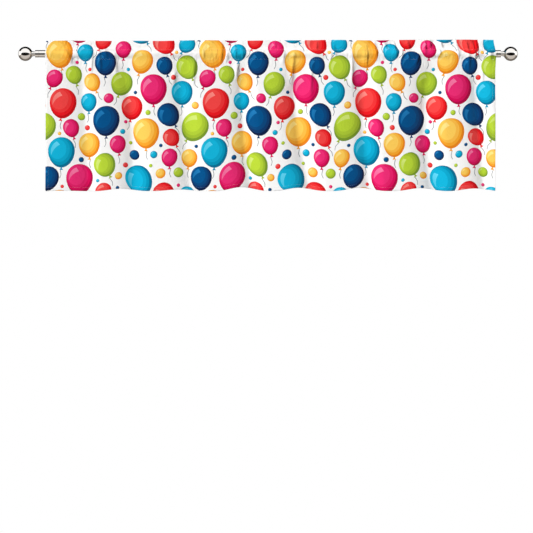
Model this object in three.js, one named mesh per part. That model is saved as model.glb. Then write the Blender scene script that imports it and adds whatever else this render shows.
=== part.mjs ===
// A printed valance on a curtain rod.
// The cloth is one sewn piece: a standing heading, a pocket that the rod slips through,
// and a panel that hangs in shallow, uneven folds down to a narrow hem.
// The rod is a steel tube, and a turned ball finial plugs each of its ends.
// Millimetres, +Z up, the front faces -Y. The origin is on the rod's axis, halfway along it.
import * as THREE from 'three';

// Rod and finials
const ROD_DIAMETER = 22;
const ROD_WALL = 1;
const ROD_END = 695;
const COLLAR_LENGTH = 12;
const COLLAR_EDGE = 1;
const PLUG_LENGTH = 22;
const NECK_DIAMETER = 13;
const BALL_DIAMETER = 43.5;
const BALL_CENTRE = 736.9;
const FIT_GAP = 0.3;
const ROUND_SIDES = 24;
const BALL_STEPS = 11;

// Cloth, as it hangs
const CLOTH = 1.2;
const HEADING_TOP_LEFT = 39;
const HEADING_TOP_RIGHT = 43;
const POCKET_TOP = 13.6;
const POCKET_FOOT = -17;
const HEM_LINE = -417;
const HEM_HEIGHT = 12;
const HEM_THICKNESS = 2.4;
const SIDE_HEM = 10;
const HEM_STEP = 0.8;
const CREST = 6;
const FOLD_SETTLES = 130;
const FOLD_AT_POCKET = 0.25;
const STATION_PITCH = 12.2;
const PANEL_ROWS = [-60, -130, -220, -315];

// The cloth's two side edges at the heading's top, the rod, the middle and the hem
const SIDES = [
  { z: 42, left: -674, right: 685 },
  { z: 0, left: -675.7, right: 692 },
  { z: -60, left: -675.5, right: 689.5 },
  { z: -220, left: -675, right: 690.5 },
  { z: -417, left: -676, right: 689.5 },
];

// Each fold: where its valley runs at the pocket, halfway down and at the hem, how wide its
// two flanks are, how far it sinks behind the crests, and how much it lifts the hem
const FOLDS = [
  { pocket: -640, middle: -622, hem: -619, left: 44, right: 26, depth: 7, lift: 1 },
  { pocket: -468, middle: -449, hem: -443, left: 76, right: 34, depth: 16, lift: 7 },
  { pocket: -286, middle: -279, hem: -267, left: 70, right: 36, depth: 14, lift: 5 },
  { pocket: -94, middle: -100, hem: -79, left: 72, right: 30, depth: 18, lift: 12 },
  { pocket: 64, middle: 68, hem: 94, left: 70, right: 32, depth: 18, lift: 10 },
  { pocket: 262, middle: 268, hem: 286, left: 78, right: 30, depth: 16, lift: 10 },
  { pocket: 462, middle: 438, hem: 462, left: 74, right: 38, depth: 18, lift: 9 },
  { pocket: 598, middle: 611, hem: 626, left: 62, right: 28, depth: 15, lift: 8 },
];

// Each gather of the heading and pocket: its place, half its width, how far the heading
// swings back there, and how far the pocket's front stands off the rod beside it
const GATHERS = [
  { at: -577, half: 26, back: 1.6, stand: 1.4 },
  { at: -470, half: 30, back: 1.2, stand: 1.6 },
  { at: -322, half: 26, back: 1.8, stand: 0.6 },
  { at: -212, half: 24, back: 2.2, stand: 1.2 },
  { at: -103, half: 26, back: 2.4, stand: 1.6 },
  { at: 18, half: 28, back: 2.2, stand: 1.4 },
  { at: 146, half: 30, back: 2, stand: 1.8 },
  { at: 252, half: 28, back: 1.8, stand: 1.6 },
  { at: 384, half: 28, back: 3, stand: 1.8 },
  { at: 514, half: 30, back: 2.2, stand: 2 },
  { at: 622, half: 28, back: 2.8, stand: 2 },
];

const RADIUS = ROD_DIAMETER / 2;
// Polygons that stand outside a true circle, so each flat lies at the circle's radius
const AROUND = 1 / Math.cos(Math.PI / ROUND_SIDES);

const clamp = (value, low, high) => Math.min(Math.max(value, low), high);
const ease = (share) => share * share * (3 - 2 * share);
const hump = (offset) => (Math.abs(offset) < 1 ? (1 + Math.cos(Math.PI * offset)) / 2 : 0);

function sideEdges(z) {
  const below = SIDES.findIndex((row) => row.z <= z);
  if (below === 0) return SIDES[0];
  if (below < 0) return SIDES[SIDES.length - 1];
  const upper = SIDES[below - 1];
  const lower = SIDES[below];
  const share = ease((upper.z - z) / (upper.z - lower.z));
  return {
    left: THREE.MathUtils.lerp(upper.left, lower.left, share),
    right: THREE.MathUtils.lerp(upper.right, lower.right, share),
  };
}

// A valley's place at a share of the way down, on a curve through its three stated places
function valleyAt(fold, down) {
  const bow = fold.middle - (fold.pocket + fold.hem) / 2;
  return THREE.MathUtils.lerp(fold.pocket, fold.hem, down) + 4 * bow * down * (1 - down);
}

// How far the panel's middle plane lies behind the rod's axis
function panelDepth(x, z) {
  const down = clamp((POCKET_FOOT - z) / (POCKET_FOOT - HEM_LINE), 0, 1);
  const settled = ease(clamp((POCKET_FOOT - z) / FOLD_SETTLES, 0, 1));
  const grown = THREE.MathUtils.lerp(FOLD_AT_POCKET, 1, settled);
  let depth = -CREST;
  for (const fold of FOLDS) {
    const offset = x - valleyAt(fold, down);
    depth += fold.depth * hump(offset / (offset < 0 ? fold.left : fold.right));
  }
  return depth * grown;
}

function gathered(x, measure) {
  return GATHERS.reduce((sum, row) => sum + row[measure] * hump((x - row.at) / row.half), 0);
}

function headingTop(x) {
  const across = (x - SIDES[0].left) / (SIDES[0].right - SIDES[0].left);
  const wave = 0.7 * Math.sin(across * 23) + 0.5 * Math.sin(across * 41);
  return THREE.MathUtils.lerp(HEADING_TOP_LEFT, HEADING_TOP_RIGHT, across) + wave;
}

function hemLine(x) {
  const lifts = FOLDS.map((fold) => {
    const offset = x - fold.hem;
    return fold.lift * hump(offset / (offset < 0 ? fold.left : fold.right));
  });
  return HEM_LINE + lifts.reduce((sum, lift) => sum + lift, 0);
}

// Points round the rod, as degrees from straight up, on both leaves of the pocket
const POCKET_ANGLES = [15, 45, 75, 105, 135];
const POCKET_AROUND = 1 / Math.cos(THREE.MathUtils.degToRad(15));

// One leaf of the pocket, from its top to its foot; side is -1 in front and 1 at the back
function pocketLeaf(x, side, clearOfAxis) {
  const stand = side < 0 ? gathered(x, 'stand') : 0;
  return POCKET_ANGLES.map((degrees) => {
    const angle = THREE.MathUtils.degToRad(degrees);
    const pushed = clearOfAxis * POCKET_AROUND + stand * Math.sin(angle) ** 2;
    return [side * Math.sin(angle) * pushed, Math.cos(angle) * pushed];
  });
}

const BORE = RADIUS * AROUND + FIT_GAP;

// The cloth's outside at one place along the rod, on one side of it, from top to hem
function outerSide(x, side, half) {
  const back = gathered(x, 'back');
  const top = headingTop(x);
  const panel = (z, thickness) => {
    const slope = panelDepth(x + 1, z) - panelDepth(x, z);
    return [panelDepth(x, z) + side * thickness * Math.hypot(1, slope), z];
  };
  const hem = hemLine(x);
  return [
    [back + side * CLOTH, top],
    [back / 2 + side * CLOTH, (top + POCKET_TOP) / 2],
    [side * CLOTH, POCKET_TOP],
    ...pocketLeaf(x, side, BORE + CLOTH),
    panel(POCKET_FOOT, CLOTH),
    ...PANEL_ROWS.map((z) => panel(z, half)),
    panel(hem + HEM_HEIGHT + HEM_STEP, half),
    panel(hem + HEM_HEIGHT, HEM_THICKNESS / 2),
    panel(hem, HEM_THICKNESS / 2),
  ];
}

// Both outlines of the cloth at one place along the rod, anticlockwise as seen from +X
function crossSection(x, half) {
  const outer = [...outerSide(x, -1, half), ...outerSide(x, 1, half).reverse()];
  const foot = [panelDepth(x, POCKET_FOOT), POCKET_FOOT + 1.5 * CLOTH];
  const inner = [...pocketLeaf(x, -1, BORE), foot, ...pocketLeaf(x, 1, BORE).reverse()];
  return { outer, inner };
}

function clothStations() {
  const width = SIDES[0].right - SIDES[0].left;
  const count = Math.round((width - 2 * SIDE_HEM) / STATION_PITCH);
  const stations = [{ share: 0, half: HEM_THICKNESS / 2 }];
  for (let step = 0; step <= count; step += 1) {
    const share = THREE.MathUtils.lerp(SIDE_HEM, width - SIDE_HEM, step / count) / width;
    stations.push({ share, half: step % count === 0 ? HEM_THICKNESS / 2 : CLOTH / 2 });
  }
  stations.push({ share: 1, half: HEM_THICKNESS / 2 });
  return stations;
}

// A solid skinned over a row of matching outlines, with a capped section at each end
function clothGeometry() {
  const positions = [];
  const indices = [];
  const sections = clothStations().map(({ share, half }) => {
    const nominal = THREE.MathUtils.lerp(SIDES[0].left, SIDES[0].right, share);
    const { outer, inner } = crossSection(nominal, half);
    const placed = (outline) => outline.map(([y, z]) => {
      const edges = sideEdges(z);
      positions.push(THREE.MathUtils.lerp(edges.left, edges.right, share), y, z);
      return positions.length / 3 - 1;
    });
    return { outer, inner, outerIds: placed(outer), innerIds: placed(inner) };
  });

  const skin = (from, to, outwards) => {
    from.forEach((corner, place) => {
      const next = (place + 1) % from.length;
      const [a, b, c, d] = [corner, from[next], to[next], to[place]];
      if (outwards) indices.push(a, b, d, b, c, d);
      else indices.push(a, d, b, b, d, c);
    });
  };
  for (let step = 1; step < sections.length; step += 1) {
    skin(sections[step - 1].outerIds, sections[step].outerIds, true);
    skin(sections[step - 1].innerIds, sections[step].innerIds, false);
  }

  const cap = (section, facesRight) => {
    const contour = section.outer.map(([y, z]) => new THREE.Vector2(y, z));
    const hole = section.inner.map(([y, z]) => new THREE.Vector2(y, z)).reverse();
    const ids = [...section.outerIds, ...[...section.innerIds].reverse()];
    for (const [a, b, c] of THREE.ShapeUtils.triangulateShape(contour, [hole])) {
      if (facesRight) indices.push(ids[a], ids[b], ids[c]);
      else indices.push(ids[a], ids[c], ids[b]);
    }
  };
  cap(sections[0], false);
  cap(sections[sections.length - 1], true);

  const geometry = new THREE.BufferGeometry();
  geometry.setAttribute('position', new THREE.Float32BufferAttribute(positions, 3));
  geometry.setIndex(indices);
  geometry.computeVertexNormals();
  return geometry;
}

// A turned solid: the profile's points are radius and distance along the rod
function turned(profile, direction) {
  const points = profile.map(([radius, along]) => new THREE.Vector2(radius, along));
  const halfFacet = Math.PI / ROUND_SIDES;
  const geometry = new THREE.LatheGeometry(points, ROUND_SIDES, halfFacet);
  geometry.rotateZ((-direction * Math.PI) / 2);
  return geometry;
}

function tubeGeometry() {
  const outside = RADIUS * AROUND;
  const inside = (RADIUS - ROD_WALL) * AROUND;
  const profile = [
    [inside, -ROD_END],
    [outside, -ROD_END],
    [outside, ROD_END],
    [inside, ROD_END],
    [inside, -ROD_END],
  ];
  return turned(profile, 1);
}

function finialGeometry(direction) {
  const plug = RADIUS - ROD_WALL - FIT_GAP;
  const collar = RADIUS * AROUND;
  const neck = NECK_DIAMETER / 2;
  const ball = BALL_DIAMETER / 2;
  const collarFace = ROD_END + FIT_GAP;
  const collarEnd = ROD_END + COLLAR_LENGTH;
  const ballStart = THREE.MathUtils.degToRad(25);
  const onBall = (angle) => new THREE.Vector2(
    ball * Math.sin(angle),
    BALL_CENTRE - ball * Math.cos(angle),
  );
  const flare = new THREE.QuadraticBezierCurve(
    new THREE.Vector2(neck, collarEnd),
    new THREE.Vector2(neck, collarEnd + 6),
    onBall(ballStart),
  );
  const profile = [
    [0, ROD_END - PLUG_LENGTH],
    [plug, ROD_END - PLUG_LENGTH],
    [plug, collarFace],
    [collar, collarFace],
    [collar, collarEnd - COLLAR_EDGE],
    [collar - COLLAR_EDGE, collarEnd],
    ...flare.getPoints(3).map((point) => [point.x, point.y]),
  ];
  for (let step = 1; step < BALL_STEPS; step += 1) {
    const point = onBall(THREE.MathUtils.lerp(ballStart, Math.PI, step / BALL_STEPS));
    profile.push([point.x, point.y]);
  }
  profile.push([0, BALL_CENTRE + ball]);
  return turned(profile, direction);
}

const printedCloth = () => new THREE.MeshStandardMaterial({
  color: 0xf3f2f0,
  roughness: 0.85,
  metalness: 0,
});
const polishedNickel = () => new THREE.MeshStandardMaterial({
  color: 0xcfc8be,
  roughness: 0.12,
  metalness: 1,
});

function piece(name, geometry, material) {
  const mesh = new THREE.Mesh(geometry, material);
  mesh.name = name;
  return mesh;
}

const group = new THREE.Group();
group.add(piece('valance', clothGeometry(), printedCloth()));
group.add(piece('rod_tube', tubeGeometry(), polishedNickel()));
group.add(piece('finial_left', finialGeometry(-1), polishedNickel()));
group.add(piece('finial_right', finialGeometry(1), polishedNickel()));

export default group;
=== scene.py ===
# %% [markdown]
# # A printed valance on a curtain rod
#
# A valance is a short curtain that dresses only the top of a window. This one is a single
# piece of printed polyester. Its top is folded over and sewn with two rows of stitches, which
# leaves a pocket for the rod and a plain heading that stands up above it. The rod is a
# polished steel tube with a ball finial plugged into each end.
#
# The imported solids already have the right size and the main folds, so this script loads them
# first and never moves them. Everything that it adds is in the same frame: metres, +Z up,
# the front towards -Y, and the origin on the rod's axis, halfway along the rod.

# %% Load the frame
import math

import bpy
import numpy as np
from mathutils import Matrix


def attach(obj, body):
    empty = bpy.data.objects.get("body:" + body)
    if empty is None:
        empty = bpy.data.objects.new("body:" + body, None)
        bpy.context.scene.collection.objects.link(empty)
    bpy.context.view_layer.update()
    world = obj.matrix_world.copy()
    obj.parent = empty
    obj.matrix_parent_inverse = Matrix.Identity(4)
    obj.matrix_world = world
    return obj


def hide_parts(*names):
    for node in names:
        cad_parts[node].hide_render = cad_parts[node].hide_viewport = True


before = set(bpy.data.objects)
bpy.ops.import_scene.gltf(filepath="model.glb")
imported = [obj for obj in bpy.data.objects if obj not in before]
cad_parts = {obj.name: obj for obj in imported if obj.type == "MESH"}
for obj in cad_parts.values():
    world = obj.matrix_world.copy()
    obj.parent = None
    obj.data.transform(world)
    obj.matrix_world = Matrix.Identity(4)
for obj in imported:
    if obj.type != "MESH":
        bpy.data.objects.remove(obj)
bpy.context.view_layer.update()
print("nodes:", sorted(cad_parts))

# %% [markdown]
# ## Camera
#
# The valance was photographed straight on, from so far away that nothing on it looks turned.
# A long lens does the same here. The camera stays level and upright, and the valance hangs in
# the upper part of the frame, as it does over its window. One pixel of the picture covers
# about 3 mm of cloth, and the lens is worked out from that.

# %% Camera
MM = 0.001
FRAME_PIXELS = 533
PIXEL = 3.037 * MM
CAMERA_DISTANCE = 8.0
SENSOR = 36.0
FRAME_CENTRE = (-4.6 * MM, -646.0 * MM)

bpy.ops.object.select_all(action="DESELECT")
bpy.ops.object.camera_add(
    location=(FRAME_CENTRE[0], -CAMERA_DISTANCE, FRAME_CENTRE[1]),
    rotation=(math.pi / 2, 0, 0),
)
camera = bpy.context.object
camera.name = "straight_on_camera"
camera.data.sensor_width = SENSOR
camera.data.lens = SENSOR * CAMERA_DISTANCE / (FRAME_PIXELS * PIXEL)
camera.data.clip_end = 100
bpy.context.scene.camera = camera
print("lens:", round(camera.data.lens, 1), "mm")

# %% [markdown]
# ## Small helpers
#
# Colours are written as the sRGB hex codes that a paint program shows. Blender's shaders work
# in linear light, so one function turns the one into the other. A second function adds a node
# to a material, with its settings, and links it to whatever feeds it. A third adds an object
# with nothing else selected, because an operator works on everything that is selected.

# %% Helpers
def linear(code):
    """An sRGB hex code such as "F3F2F0", as the linear colour that a shader takes."""
    parts = [int(code[place:place + 2], 16) / 255 for place in (0, 2, 4)]
    light = [p / 12.92 if p <= 0.04045 else ((p + 0.055) / 1.055) ** 2.4 for p in parts]
    return (*light, 1.0)


def connect(tree, added, inputs):
    """Fills a node's inputs, by name or number, from sockets, whole nodes or plain values."""
    for place, value in inputs.items():
        if isinstance(value, bpy.types.Node):
            value = value.outputs[0]
        if isinstance(value, bpy.types.NodeSocket):
            tree.links.new(value, added.inputs[place])
        else:
            added.inputs[place].default_value = value


def node(tree, kind, inputs=None, **settings):
    """Adds one node. Where it is used as an input, it stands for its first output."""
    added = tree.nodes.new(kind)
    for name, value in settings.items():
        setattr(added, name, value)
    connect(tree, added, inputs or {})
    return added


def select_only(piece):
    bpy.ops.object.select_all(action="DESELECT")
    piece.select_set(True)
    bpy.context.view_layer.objects.active = piece


def add_object(operator, name, **settings):
    """Adds an object with nothing else selected, and names it."""
    bpy.ops.object.select_all(action="DESELECT")
    operator(**settings)
    made = bpy.context.object
    made.name = name
    made.data.name = name
    return made


def points_of(mesh):
    """The mesh's points, one row of x, y and z for each."""
    places = np.empty(len(mesh.vertices) * 3)
    mesh.vertices.foreach_get("co", places)
    return places.reshape(-1, 3)


def lerp(start, end, share):
    return start + (end - start) * share


def ease(share):
    """0 to 1 with a soft start and a soft end."""
    share = np.clip(share, 0, 1)
    return share * share * (3 - 2 * share)


def hump(offset):
    """1 at an offset of 0, falling softly to 0 at 1 on either side."""
    return np.where(np.abs(offset) < 1, (1 + np.cos(np.pi * offset)) / 2, 0.0)


# %% [markdown]
# ## How the cloth hangs
#
# The cloth could be draped by a simulation, but then its folds would fall where the solver
# puts them. Here each fold is a row in a table, so each one is where it really hangs: a broad
# crest, a long slope into the valley, and a gentle slope out of it. The solid has the same eight
# folds in nearly the same places, so the fine sheet lies close to it.
#
# All of these sizes are in millimetres. x runs along the rod and z is the height.

# %% The cloth's folds
POCKET_TOP = 13.6
POCKET_FOOT = -17
HEM_LINE = -417
HEM_HEIGHT = 12
SIDE_HEM = 10
HEADING_TOP_LEFT = 39
HEADING_TOP_RIGHT = 43
CREST = 6
FOLD_SETTLES = 100
FOLD_AT_POCKET = 0.25
FOOT_FORWARD = 9.8
FOOT_SETTLES = 110
# A valley's left slope gets steeper all the way to its darkest line. Just to the right of that
# line is the round foot of the valley, and then a gentle slope up to the next crest. The fold
# table's widths and depths are multiplied by these three
LEFT_REACH = 1.2
RIGHT_REACH = 2.0
DEEPER = 0.95
LIFT_HALF = 80
# The waves of the heading's top edge: how high each is, and how far it turns over the width
HEADING_WAVES = [(0.7, 23), (0.5, 41)]

# The side edges, from the heading's top to the hem: height, left and right
SIDES = np.array([
    (42, -674, 685),
    (0, -675.7, 692),
    (-60, -675.5, 689.5),
    (-220, -675, 690.5),
    (-417, -676, 689.5),
])
LEFT_EDGE, RIGHT_EDGE = SIDES[0, 1:]

# The valley's place at the pocket, halfway down and at the hem, its two slopes' widths, its
# depth, and where and how far it lifts the hem
FOLDS = [
    dict(pocket=-580, middle=-561, hem=-554, left=86, right=26, depth=12, edge=-619, lift=1),
    dict(pocket=-450, middle=-425, hem=-420, left=76, right=34, depth=16, edge=-443, lift=7),
    dict(pocket=-280, middle=-268, hem=-246, left=70, right=36, depth=14, edge=-267, lift=5),
    dict(pocket=-88, middle=-86, hem=-56, left=72, right=30, depth=18, edge=-79, lift=12),
    dict(pocket=68, middle=78, hem=118, left=70, right=32, depth=18, edge=94, lift=10),
    dict(pocket=270, middle=278, hem=296, left=78, right=30, depth=16, edge=278, lift=10),
    dict(pocket=480, middle=462, hem=488, left=74, right=38, depth=18, edge=462, lift=9),
    dict(pocket=612, middle=626, hem=644, left=62, right=28, depth=15, edge=626, lift=8),
]
print("main folds:", len(FOLDS))

# %% The shape of a fold
def side_edges(z):
    """The left and right edge at a height."""
    below = int(np.clip(np.searchsorted(-SIDES[:, 0], -z), 1, len(SIDES) - 1))
    upper, lower = SIDES[below - 1], SIDES[below]
    share = ease((upper[0] - z) / (upper[0] - lower[0]))
    return lerp(upper[1:], lower[1:], share)


def beside(fold, offset):
    """How far down a valley a place lies, from 0 at the top of either slope."""
    left = fold["left"] * LEFT_REACH
    right = fold["right"] * RIGHT_REACH
    steep = 3 * right / left
    share = np.clip(offset / right, 0, 1)
    sinking = np.clip(1 + offset / left, 0, 1) ** 3
    rising = 1 + steep * share - (3 + 2 * steep) * share ** 2 + (2 + steep) * share ** 3
    return np.where(offset < 0, sinking, rising)


def panel_depth(x, z):
    """How far the panel lies behind the rod's axis."""
    down = np.clip((POCKET_FOOT - z) / (POCKET_FOOT - HEM_LINE), 0, 1)
    grown = lerp(FOLD_AT_POCKET, 1, ease((POCKET_FOOT - z) / FOLD_SETTLES))
    crest = lerp(FOOT_FORWARD, CREST, ease((POCKET_FOOT - z) / FOOT_SETTLES))
    depth = np.zeros(np.shape(x))
    for fold in FOLDS:
        bow = fold["middle"] - (fold["pocket"] + fold["hem"]) / 2
        valley = lerp(fold["pocket"], fold["hem"], down) + 4 * bow * down * (1 - down)
        depth = depth + fold["depth"] * DEEPER * beside(fold, x - valley)
    return depth * grown - crest


def hem_line(x):
    """The height of the cloth's lower edge."""
    return HEM_LINE + sum(fold["lift"] * hump((x - fold["edge"]) / LIFT_HALF) for fold in FOLDS)


def heading_top(x):
    """The height of the heading's top edge, which waves a little."""
    across = (x - LEFT_EDGE) / (RIGHT_EDGE - LEFT_EDGE)
    wave = sum(height * np.sin(across * turn) for height, turn in HEADING_WAVES)
    return lerp(HEADING_TOP_LEFT, HEADING_TOP_RIGHT, across) + wave


hem_depths = panel_depth(np.linspace(LEFT_EDGE, RIGHT_EDGE, 400), HEM_LINE)
print("folds at the hem reach from", hem_depths.min().round(1), "to", hem_depths.max().round(1), "mm")

# %% [markdown]
# ## Gathers and small creases
#
# The cut is a little wider than the space it fills, so the heading and the pocket take up the
# spare cloth. Part of it goes into soft gathers, where the heading swings back and the pocket
# stands off the rod. The rest is pinched into small creases that stand out like the ridge of a
# fingertip pleat, and each one fades out at both of its ends. They are placed one by one: the
# left of this valance is almost smooth, and the middle and the right are more gathered.

# %% Gathers and creases
# Where the heading swings back, and where the pocket's front stands off the rod
GATHERS = [
    dict(at=-577, half=26, back=1.6, stand=1.4),
    dict(at=-470, half=30, back=1.2, stand=1.6),
    dict(at=-322, half=26, back=1.8, stand=0.6),
    dict(at=-212, half=24, back=2.2, stand=1.2),
    dict(at=-103, half=26, back=2.4, stand=1.6),
    dict(at=18, half=28, back=2.2, stand=1.4),
    dict(at=146, half=30, back=2.0, stand=1.8),
    dict(at=252, half=28, back=1.8, stand=1.6),
    dict(at=384, half=18, back=3.0, stand=1.8),
    dict(at=502, half=20, back=2.6, stand=2.0),
    dict(at=626, half=18, back=3.0, stand=2.0),
]

# Each crease: its place, its top and bottom heights, how far it leans to the right on the way
# down, its width and its depth. The sharp ones are pinched by the seam.
CREASES = [
    dict(at=-603, top=14, foot=-34, lean=26, half=15, depth=2.2),
    dict(at=-534, top=10, foot=-66, lean=-3, half=5, depth=1.1),
    dict(at=-509, top=18, foot=-64, lean=5, half=5, depth=1.2),
    dict(at=-492, top=24, foot=-16, lean=12, half=6, depth=1.3),
    dict(at=-464, top=4, foot=-66, lean=14, half=9, depth=1.6),
    dict(at=-285, top=-46, foot=-96, lean=-4, half=10, depth=1.2),
    dict(at=-226, top=-4, foot=-108, lean=-6, half=9, depth=1.4),
    dict(at=-197, top=24, foot=-20, lean=4, half=5, depth=1.1),
    dict(at=-142, top=40, foot=-38, lean=-5, half=5, depth=1.4),
    dict(at=-126, top=14, foot=-30, lean=-6, half=7, depth=1.1),
    dict(at=-101, top=40, foot=-18, lean=4, half=5, depth=1.3),
    dict(at=-96, top=-20, foot=-86, lean=-2, half=9, depth=1.7),
    dict(at=-78, top=30, foot=-20, lean=3, half=4, depth=1.2),
    dict(at=-16, top=14, foot=-24, lean=4, half=5, depth=1.0),
    dict(at=21, top=42, foot=16, lean=-4, half=6, depth=1.1),
    dict(at=44, top=12, foot=-36, lean=-3, half=6, depth=1.1),
    dict(at=72, top=10, foot=-104, lean=-8, half=9, depth=1.6),
    dict(at=129, top=-18, foot=-142, lean=-4, half=7, depth=1.1),
    dict(at=146, top=42, foot=6, lean=-8, half=7, depth=1.4),
    dict(at=188, top=16, foot=-20, lean=3, half=4, depth=1.1),
    dict(at=200, top=34, foot=-14, lean=6, half=4, depth=1.2),
    dict(at=252, top=8, foot=-112, lean=4, half=9, depth=1.8),
    dict(at=289, top=30, foot=-46, lean=1, half=4, depth=1.5),
    dict(at=296, top=34, foot=-52, lean=1, half=4, depth=1.8),
    dict(at=324, top=42, foot=-24, lean=5, half=6, depth=1.3),
    dict(at=354, top=42, foot=8, lean=8, half=6, depth=2.0),
    dict(at=383, top=42, foot=-14, lean=5, half=6, depth=2.1),
    dict(at=402, top=20, foot=-28, lean=-5, half=5, depth=1.3),
    dict(at=421, top=8, foot=-22, lean=8, half=4, depth=1.2),
    dict(at=424, top=43, foot=12, lean=5, half=5, depth=2.2),
    dict(at=449, top=6, foot=-40, lean=-14, half=6, depth=1.8),
    dict(at=474, top=42, foot=-4, lean=-6, half=6, depth=2.2),
    dict(at=490, top=43, foot=16, lean=-5, half=5, depth=2.2),
    dict(at=516, top=20, foot=-8, lean=4, half=4, depth=1.2),
    dict(at=524, top=42, foot=18, lean=5, half=5, depth=2.2),
    dict(at=571, top=40, foot=-26, lean=3, half=6, depth=1.1),
    dict(at=602, top=43, foot=4, lean=5, half=5, depth=2.0),
    dict(at=604, top=12, foot=-58, lean=6, half=7, depth=1.6),
    dict(at=621, top=43, foot=-30, lean=4, half=5, depth=2.2),
    dict(at=630, top=40, foot=-14, lean=-5, half=4, depth=1.5),
    dict(at=647, top=-46, foot=-88, lean=4, half=5, depth=1.3),
    dict(at=668, top=18, foot=-30, lean=3, half=11, depth=1.5),
]
print("gathers:", len(GATHERS), "creases:", len(CREASES))

# %% The shape of a crease
# The table's half widths are multiplied by the first two, and its depths by the third
CREASE_LEFT = 1.8
CREASE_RIGHT = 1.3
CREASE_DEPTH = 4.2
# How round a crease's ridge is, how fast it fades along its length, and how near it comes to
# nothing at its ends, where 1 is nothing at all
CREASE_BEND = 0.15
CREASE_FADE = 0.6
CREASE_ENDS = 0.98


def pinched(offset, bend):
    """1 at an offset of 0, where it bends sharply, falling to 0 at 1 on either side."""
    away = np.sqrt(offset ** 2 + bend ** 2) - bend
    return np.clip(1 - away / (math.sqrt(1 + bend ** 2) - bend), 0, 1) ** 2


def gathered(x, measure):
    return sum(row[measure] * hump((x - row["at"]) / row["half"]) for row in GATHERS)


def crease_height(x, z):
    """How far the small creases stand out from the front of the cloth."""
    depth = np.zeros(np.shape(x))
    for row in CREASES:
        down = (row["top"] - z) / (row["top"] - row["foot"])
        fade = hump(np.clip(2 * down - 1, -1, 1) * CREASE_ENDS) ** CREASE_FADE
        offset = x - row["at"] - row["lean"] * (down - 0.5)
        width = row["half"] * np.where(offset < 0, CREASE_LEFT, CREASE_RIGHT)
        depth = depth + row["depth"] * fade * pinched(offset / width, CREASE_BEND)
    return depth * CREASE_DEPTH


tallest = max(row["depth"] for row in CREASES) * CREASE_DEPTH
print("the tallest crease stands out", round(tallest, 1), "mm")

# %% [markdown]
# ## The path round the rod
#
# Seen from the end, the cloth is one line. It starts at the pocket's seam behind the rod, goes
# up round the back of the rod, up the back of the heading, over its top, down the front, round
# the front of the rod to the lower seam, and then hangs as the panel. The length along this
# line is how far down the flat cut a point lies, which the print needs later.
#
# Round the rod the cloth is tight: an arc where it lies on the rod, and a straight tangent
# from there to each of the two seams.

# %% The line round the rod
ALLOWANCE = 6
HEADING_LENGTH = 26.4
HEADING_HALF = 1.1
SEAM_HALF = 0.7
CLOTH_RADIUS = 12.2
ARC_POINTS = 60
TOP_TURN = math.pi * HEADING_HALF
PANEL_LENGTH = POCKET_FOOT - HEM_LINE


def round_rod(side):
    """One side of the pocket as a line of points: a tangent, an arc and a tangent."""
    ends = np.array([
        (side * SEAM_HALF, POCKET_TOP),
        (-FOOT_FORWARD + SEAM_HALF * (1 + side), POCKET_FOOT),
    ])
    turned = np.arctan2(side * ends[:, 0], ends[:, 1]) % (2 * math.pi)
    tangent = np.arccos(CLOTH_RADIUS / np.linalg.norm(ends, axis=1))
    turns = np.linspace(turned[0] + tangent[0], turned[1] - tangent[1], ARC_POINTS)
    arc = CLOTH_RADIUS * np.stack([side * np.sin(turns), np.cos(turns)], axis=1)
    return np.vstack([ends[:1], arc, ends[1:]])


LEAVES = {}
for side in (-1, 1):
    line = round_rod(side)
    lengths = np.concatenate([[0], np.cumsum(np.linalg.norm(np.diff(line, axis=0), axis=1))])
    LEAVES[side] = (line, lengths)
FRONT_LENGTH = LEAVES[-1][1][-1]
BACK_LENGTH = LEAVES[1][1][-1]
ZONES = np.cumsum([
    0, ALLOWANCE, BACK_LENGTH, HEADING_LENGTH, TOP_TURN, HEADING_LENGTH, FRONT_LENGTH,
    PANEL_LENGTH,
])
print("line along the pocket's front and back:", FRONT_LENGTH.round(1), BACK_LENGTH.round(1), "mm")

# %% Places on the path
CLEAR_OF_ROD = 11.7
SLACK = 0.9
# The share of the pocket's side from which it swings with the panel's folds, and the height
# above or below the rod's axis from which the back has creases
HANGS_FROM = 0.6
BACK_CREASES = 11


def leaf(x, share, side):
    """A place on one side of the pocket. share is 0 at the upper seam and 1 at the lower."""
    line, lengths = LEAVES[side]
    y = np.interp(share * lengths[-1], lengths, line[:, 0])
    z = np.interp(share * lengths[-1], lengths, line[:, 1])
    stand = SLACK + gathered(x if side < 0 else -x, "stand")
    outward = math.sin(math.pi * share) ** 2 * stand
    reach = math.hypot(y, z)
    hangs = ease((share - HANGS_FROM) / (1 - HANGS_FROM))
    sway = (panel_depth(x, POCKET_FOOT) + FOOT_FORWARD) * hangs
    pinch = crease_height(x, z)
    if side > 0:
        pinch = pinch * ease((abs(z) - BACK_CREASES) / (POCKET_TOP - BACK_CREASES))
    y = y * (1 + outward / reach) + sway - pinch
    z = z * (1 + outward / reach)
    if side < 0:
        clear = -np.sqrt(np.clip(CLEAR_OF_ROD ** 2 - z ** 2, 0, None))
        y = np.where(np.abs(z) < CLEAR_OF_ROD, np.minimum(y, clear), y)
    return y, z


def heading(x, share, side):
    """A place on one leaf of the heading. share is 0 at the seam and 1 at the top turn."""
    z = lerp(POCKET_TOP, heading_top(x) - HEADING_HALF, share)
    y = 2 * gathered(x, "back") * share + side * lerp(SEAM_HALF, HEADING_HALF, ease(share * 3))
    return y, z


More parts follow.
